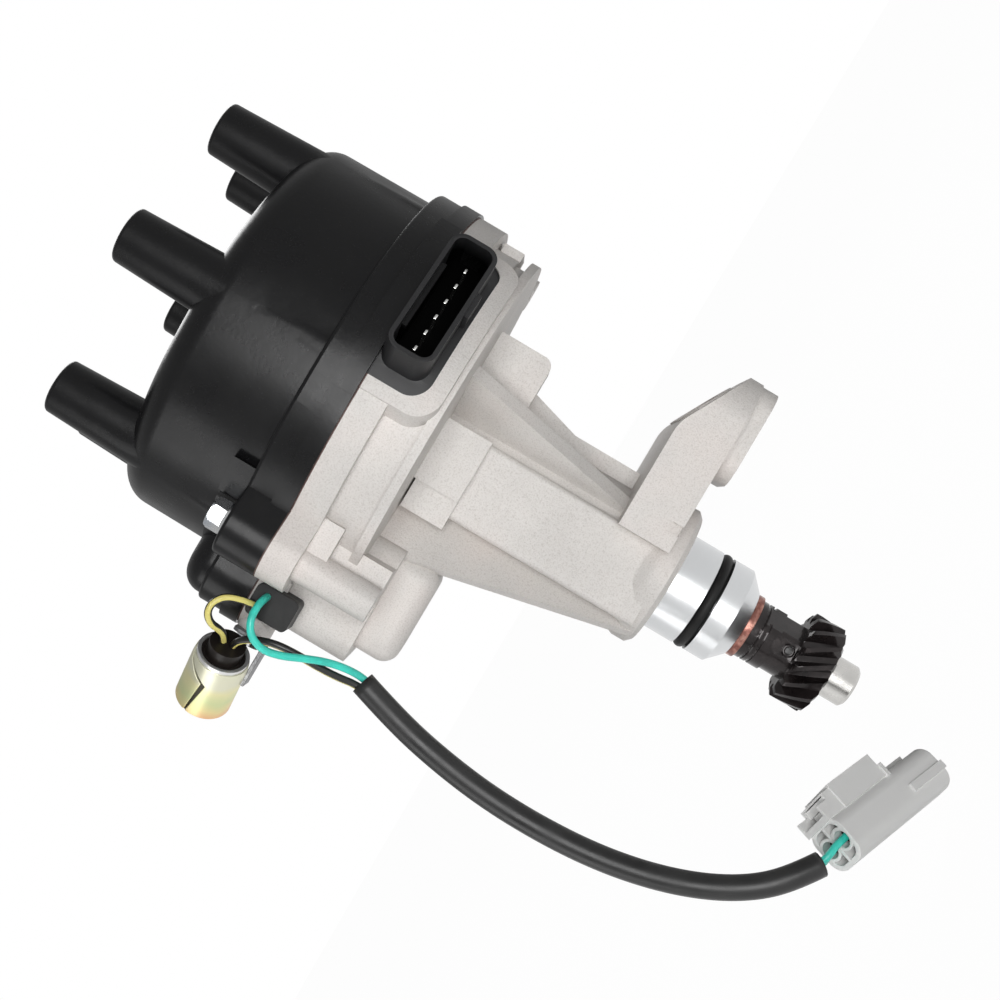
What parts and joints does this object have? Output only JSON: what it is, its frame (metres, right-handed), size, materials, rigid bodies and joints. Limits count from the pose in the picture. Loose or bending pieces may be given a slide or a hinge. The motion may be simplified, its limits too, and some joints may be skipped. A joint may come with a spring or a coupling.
{
  "type": "ignition distributor",
  "caption": "Gear-driven ignition distributor with high-tension cap, cast housing with slotted ear, built-in coil and sensor, condenser and short harness with plug.",
  "frame": {"origin": "on the shaft axis, in the plane where collar and ear seat on the engine", "axes": "+Z along the shaft towards the cap, +X towards the mounting ear, -Y towards the six-way socket's side"},
  "size_m": [0.1595, 0.1313, 0.2625],
  "materials": {
    "cast_housing": "sand-cast, bare, fine grain",
    "cap_moulding": "black moulding, semi-gloss",
    "black_moulding": "black moulding, satin",
    "rotor_moulding": "dark brown phenolic moulding",
    "steel": "ground steel",
    "gear_steel": "hobbed steel, black oxide, oiled",
    "screw_steel": "zinc-plated steel",
    "ball_steel": "polished",
    "copper": "copper-coloured bearing metal",
    "bronze": "sintered bronze",
    "brass": "bright",
    "aluminium": "turned",
    "tin": "tinned contact",
    "carbon": "pressed carbon",
    "rubber": "matt black",
    "core_steel": "varnished laminations",
    "module_plastic": "black epoxy",
    "zinc_yellow": "yellow-passivated zinc",
    "can": "plain sheet",
    "green_insulation": "turquoise wire insulation",
    "yellow_insulation": "yellow wire insulation with a black line",
    "black_insulation": "black wire insulation",
    "sleeve": "black harness sleeve",
    "plug_grey": "grey moulding"
  },
  "bodies": {
    "unit": {"housing": "cast_housing", "o_ring": "rubber", "lower_bush": "bronze", "oil_seal": "rubber", "bearing_outer_race": "steel", "bearing_retainer": "steel", "retainer_screws": "screw_steel", "sensor_plate": "steel", "optical_pickup": "black_moulding", "dust_cover": "black_moulding", "power_module": "module_plastic", "coil_core": "core_steel", "coil_body": "black_moulding", "coil_button": "brass", "distributor_cap": "cap_moulding", "cap_electrodes": "brass", "contact_bar": "brass", "brush_spring": "steel", "cap_gasket": "rubber", "cap_screws": "screw_steel", "connector_socket": "black_moulding", "socket_pins": "tin", "grommet": "rubber", "condenser_can": "can", "condenser_end": "black_moulding", "condenser_bracket": "zinc_yellow", "condenser_screw": "screw_steel", "signal_wire": "green_insulation", "feed_wire": "yellow_insulation", "ground_wire": "black_insulation", "harness_sleeve": "sleeve", "plug_leads": "green_insulation", "plug_housing": "plug_grey", "plug_contacts": "tin", "plug_seals": "rubber"},
    "shaft": {"shaft": "steel", "bearing_inner_race": "steel", "bearing_shoulder": "steel", "disc_spacer": "aluminium", "slotted_disc": "steel", "disc_clamp": "aluminium", "rotor_arm": "rotor_moulding", "rotor_contact": "brass", "rotor_screw": "screw_steel", "thrust_washer": "copper", "drive_gear": "gear_steel", "roll_pin": "gear_steel"},
    "ball_cage": {"ball_cage": "brass", "bearing_balls": "ball_steel"},
    "brush": {"carbon_brush": "carbon"}
  },
  "joints": [
    {"name": "shaft_spin", "type": "hinge", "parent": "unit", "child": "shaft", "pos_m": [0, 0, 0], "axis": [0, 0, 1], "continuous": true},
    {"name": "cage_spin", "type": "hinge", "parent": "unit", "child": "ball_cage", "pos_m": [0, 0, 0.076], "axis": [0, 0, 1], "continuous": true},
    {"name": "brush_slide", "type": "slide", "parent": "unit", "child": "brush", "axis": [0, 0, 1], "range_m": [0, 0.0025], "stiffness_N_per_m": 60, "springref_m": -0.01, "deforming": ["brush_spring"]}
  ],
  "couplings": [
    {"joint": "cage_spin", "follows": "shaft_spin", "ratio": 0.3889}
  ]
}
